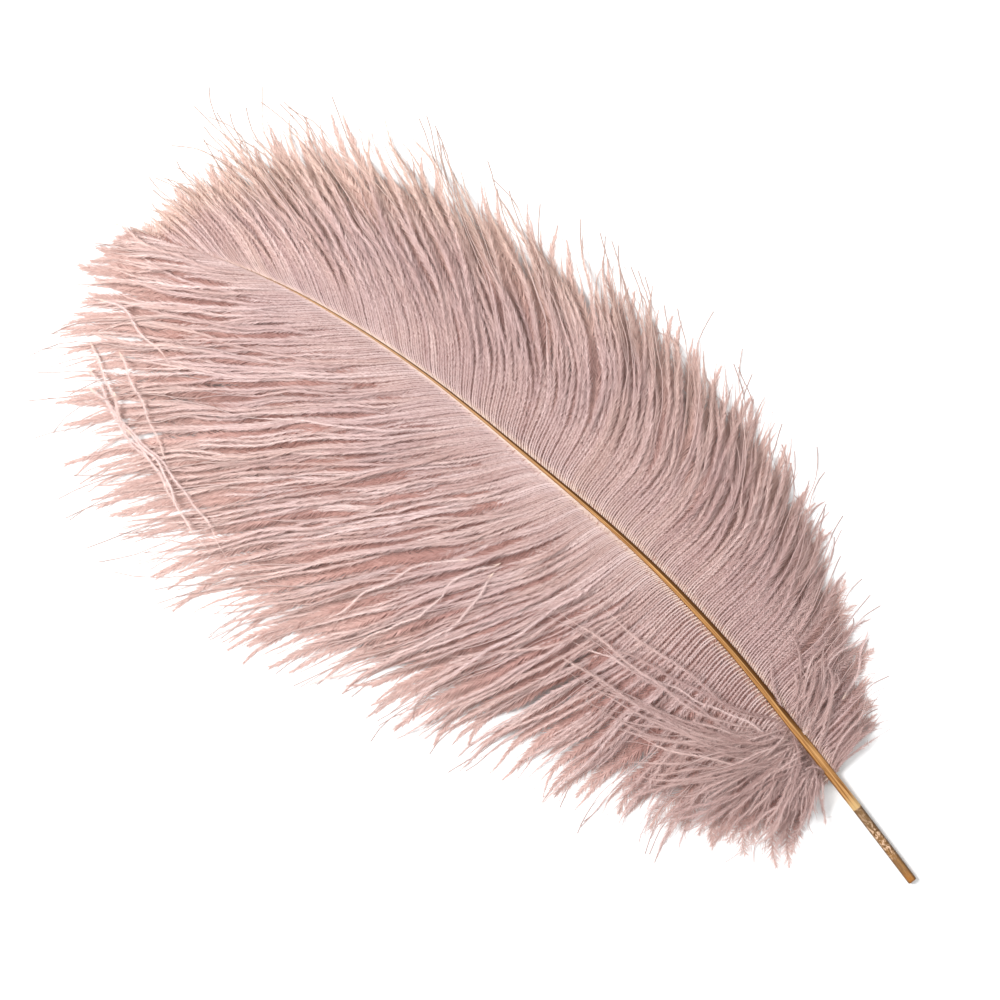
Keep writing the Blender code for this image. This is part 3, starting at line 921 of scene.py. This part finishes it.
# Loose fluffy barbs at the base, spread out over the vanes
downLook = dict(
    vaneLook, ramus=(0.13, 0.12, 7.0), perMm=16.0, length=(1.3, 2.7), growth=(3.0, 16.0),
    angle=(40.0, 17.0), angleSpread=8.0, lift=(0.0, 0.0), liftSpread=(40.0, 45.0), tipTaper=0.9,
    tipStart=(0.55, 0.85), tipSpan=0.3, width=0.10, curl=0.12)
fanLook = {
    "rootJitter": 0.2,
    "waves": (62.0, 22.0),              # mm
    "curly": ((40, 100), (0.3, 1.0)),   # share of the short wave, by the angle at the tip
    "free": (2, 22),
    "tint": (0.55, 0.30),
    "hue": (0.2, 0.2),
    "hair": (1.0, 2.0),
}
baseFans = (
    {
        "name": "left_base_down", "side": 1, "count": 66, "roots": (52.0, 73.0), "rootTurn": (106.0, 18.0),
        "bend": (5.0, 19.0), "above": (0.5, 3.2), "tipSpread": 9.0, "part": (0.55, 1.05),
        "turnLength": ((14.0, 80.0), (24.0, 74.0), (34.0, 70.0), (46.0, 66.0), (58.0, 59.0), (72.0, 50.0),
                       (88.0, 41.0), (104.0, 34.0), (122.0, 28.0), (138.0, 22.0)),
        "swing": (1.4, 0.7), "curl": 26.0,
    },
    {
        "name": "left_base_hairs", "side": 1, "count": 13, "roots": (60.0, 74.0), "rootTurn": (70.0, 20.0),
        "bend": (9.0, 16.0), "above": (1.5, 3.4), "tipSpread": 3.0, "part": (0.8, 1.0),
        "turnLength": ((-5.0, 106.0), (2.0, 100.0), (8.0, 88.0), (16.0, 80.0)),
        "swing": (1.2, 0.15), "curl": 12.0,
    },
    {
        "name": "left_base_tufts", "side": 1, "count": 34, "roots": (49.0, 70.0), "rootTurn": (100.0, 30.0),
        "bend": (4.0, 14.0), "above": (0.8, 4.0), "tipSpread": 20.0, "part": (0.4, 1.0),
        "turnLength": ((30.0, 34.0), (70.0, 32.0), (110.0, 28.0), (140.0, 22.0)),
        "swing": (1.6, 1.4), "curl": 60.0,
    },
    {
        "name": "right_base_down", "side": -1, "count": 30, "roots": (47.0, 76.0), "rootTurn": (96.0, 20.0),
        "bend": (5.0, 14.0), "above": (0.4, 2.6), "tipSpread": 9.0, "part": (0.55, 1.05),
        "turnLength": ((26.0, 28.0), (60.0, 33.0), (82.0, 32.0), (98.0, 28.0)),
        "swing": (1.5, 1.0), "curl": 34.0,
    },
)
rng = np.random.default_rng(21)
for fan in baseFans:
    count = fan["count"]
    turns = np.array(fan["turnLength"])
    even = (np.arange(count) + 0.5) / count
    tipTurn = np.interp(even, np.linspace(0, 1, len(turns)), turns[:, 0])
    tipTurn = tipTurn + rng.normal(0, fan["tipSpread"], count)
    length = np.interp(tipTurn, turns[:, 0], turns[:, 1]) * rng.uniform(*fan["part"], count)
    low, high = fan["roots"]
    jitter = fanLook["rootJitter"]
    roots = high - (high - low) * np.clip(even + rng.uniform(-jitter, jitter, count), 0, 1)
    rootTurn = rng.normal(*fan["rootTurn"], count)
    bend = rng.uniform(*fan["bend"], count)
    tipCurl = rng.normal(0, fan["curl"], count)
    points = growBarbs(roots, fan["side"], (rootTurn, tipTurn, length, bend), 0.0, tipCurl)
    across = pathFrames(points)[1]
    longWave, shortWave = fanLook["waves"]
    swing = wander(rng, length, longWave) * fan["swing"][0]
    curly = np.interp(tipTurn, *fanLook["curly"])[:, None]
    swing += wander(rng, length, shortWave) * fan["swing"][1] * curly
    points += across * (swing * smoothStep(length[:, None] * stepPlaces, *fanLook["free"]))[..., None]
    layOnVane(points, rng.uniform(*fan["above"], count))
    hair = rng.choice(fanLook["hair"], count)
    barbs = barbSet(rng, points, length, fanLook["tint"], fanLook["hue"], 0.0, hair)
    makeBarbs(fan["name"], barbs, downLook, rng, downMaterial)

# Single stray barbs that cross the others, by places along and across in mm
strayLook = {
    "left": (
        ((142, 50), (117, 55), (90, 62), (56, 77)),
        ((146, 44), (128, 54), (108, 60), (84, 70)),
        ((134, 47), (119, 58), (103, 61), (80, 74)),
        ((151, 36), (137, 46), (119, 57)),
        ((123, 55), (107, 58), (94, 66), (72, 75)),
        ((140, 33), (131, 40), (116, 48), (102, 58)),
        ((157, 22), (147, 21), (132, 25), (122, 27)),
        ((-13, 18), (-4, 29), (-2, 42), (5, 58), (17, 74)),
        ((-13, 22), (-13, 37), (-8, 54), (4, 74), (20, 95)),
        ((-3, 23), (9, 34), (19, 52), (30, 80)),
        ((-132, 12), (-97, 18), (-67, 23), (-27, 30)),
    ),
    "right": (
        ((-134, 9), (-135, 2), (-133, -7), (-129, -17), (-129, -26), (-137, -36)),
        ((-135, 7), (-133, -1), (-126, -6), (-122, -16), (-123, -26)),
        ((-139, -11), (-139, -20), (-136, -30), (-131, -40)),
    ),
    "rows": 120,
    "above": (0.1, 0.6),
    "swing": 0.8,
    "wave": 26.0,
    "tint": (0.8, 0.12),
    "hue": (0.4, 0.2),
    "hair": 1.2,
    "barbules": dict(
        vaneLook, ramus=(0.07, 0.06, 7.0), perMm=11.0, length=(2.2, 2.2), angle=(20.0, 15.0),
        angleSpread=7.0, lift=(0.0, 0.0), liftSpread=(18.0, 25.0), tipStart=(0.6, 0.85), width=0.12,
        curl=0.08),
}
rng = np.random.default_rng(34)
for sideName in ("left", "right"):
    routes = strayLook[sideName]
    points = np.zeros((len(routes), barbLook["steps"], 3))
    length = np.zeros(len(routes))
    for i, route in enumerate(routes):
        gone, rows = evenRows(route, strayLook["rows"])
        length[i] = gone[-1]
        for axis in (0, 1):
            points[i, :, axis] = np.interp(stepPlaces * gone[-1], gone, rows[:, axis])
    across = pathFrames(points)[1]
    points += across * wander(rng, length, strayLook["wave"])[..., None] * strayLook["swing"]
    layOnVane(points, rng.uniform(*strayLook["above"], len(routes)), free=0)
    barbs = barbSet(rng, points, length, strayLook["tint"], strayLook["hue"], 0.0, strayLook["hair"])
    makeBarbs(sideName + "_stray", barbs, strayLook["barbules"], rng, strayMaterial)


# The camera looks straight down, with the feather lying from lower right to upper left
viewLook = {
    "lens": 90.0,
    "frameWidth": 350.0,      # mm across the picture at the shaft's height
    "height": 12.0,           # of the shaft there
    "turn": -145.2,
    "floorSize": 3.0,         # metres from the middle to an edge
    "floorTone": (0.82, 0.82, 0.82, 1),
    "world": 0.66,
    # name, place and size in metres, power
    "lamps": (("key", (0.75, 0.28, 1.00), 0.60, 22.0), ("top", (-0.25, -0.1, 1.5), 1.0, 4.0)),
}


def setStage():
    shape = bmesh.new()
    bmesh.ops.create_grid(shape, x_segments=1, y_segments=1, size=viewLook["floorSize"])
    mesh = bpy.data.meshes.new("floor")
    shape.to_mesh(mesh)
    shape.free()
    floor = bpy.data.objects.new("floor", mesh)
    bpy.context.scene.collection.objects.link(floor)
    material, tree = newMaterial("floor_white")
    shader = addNode(tree, "ShaderNodeBsdfPrincipled", None, {
        "Base Color": viewLook["floorTone"], "Roughness": 0.9, "Specular IOR Level": 0.1})[0]
    addNode(tree, "ShaderNodeOutputMaterial", None, {"Surface": shader})
    mesh.materials.append(material)

    world = bpy.data.worlds.new("studio")
    bpy.context.scene.world = world
    world.use_nodes = True
    background = world.node_tree.nodes["Background"]
    background.inputs["Color"].default_value = (1, 1, 1, 1)
    background.inputs["Strength"].default_value = viewLook["world"]
    for name, place, size, power in viewLook["lamps"]:
        lamp = bpy.data.lights.new(name, "AREA")
        lamp.shape = "DISK"
        lamp.size = size
        lamp.energy = power
        holder = bpy.data.objects.new(name, lamp)
        holder.location = place
        holder.rotation_euler = (-Vector(place)).to_track_quat("-Z", "Y").to_euler()
        bpy.context.scene.collection.objects.link(holder)

    camera = bpy.data.cameras.new("camera")
    camera.lens = viewLook["lens"]
    holder = bpy.data.objects.new("camera", camera)
    away = viewLook["frameWidth"] * camera.lens / camera.sensor_width
    holder.location = (slideMm[0] * mm, slideMm[1] * mm, (away + viewLook["height"]) * mm)
    holder.rotation_euler = (0, 0, math.radians(viewLook["turn"]))
    bpy.context.scene.collection.objects.link(holder)
    bpy.context.scene.camera = holder
    bpy.context.scene.view_settings.view_transform = "Standard"


setStage()
print("stage set")
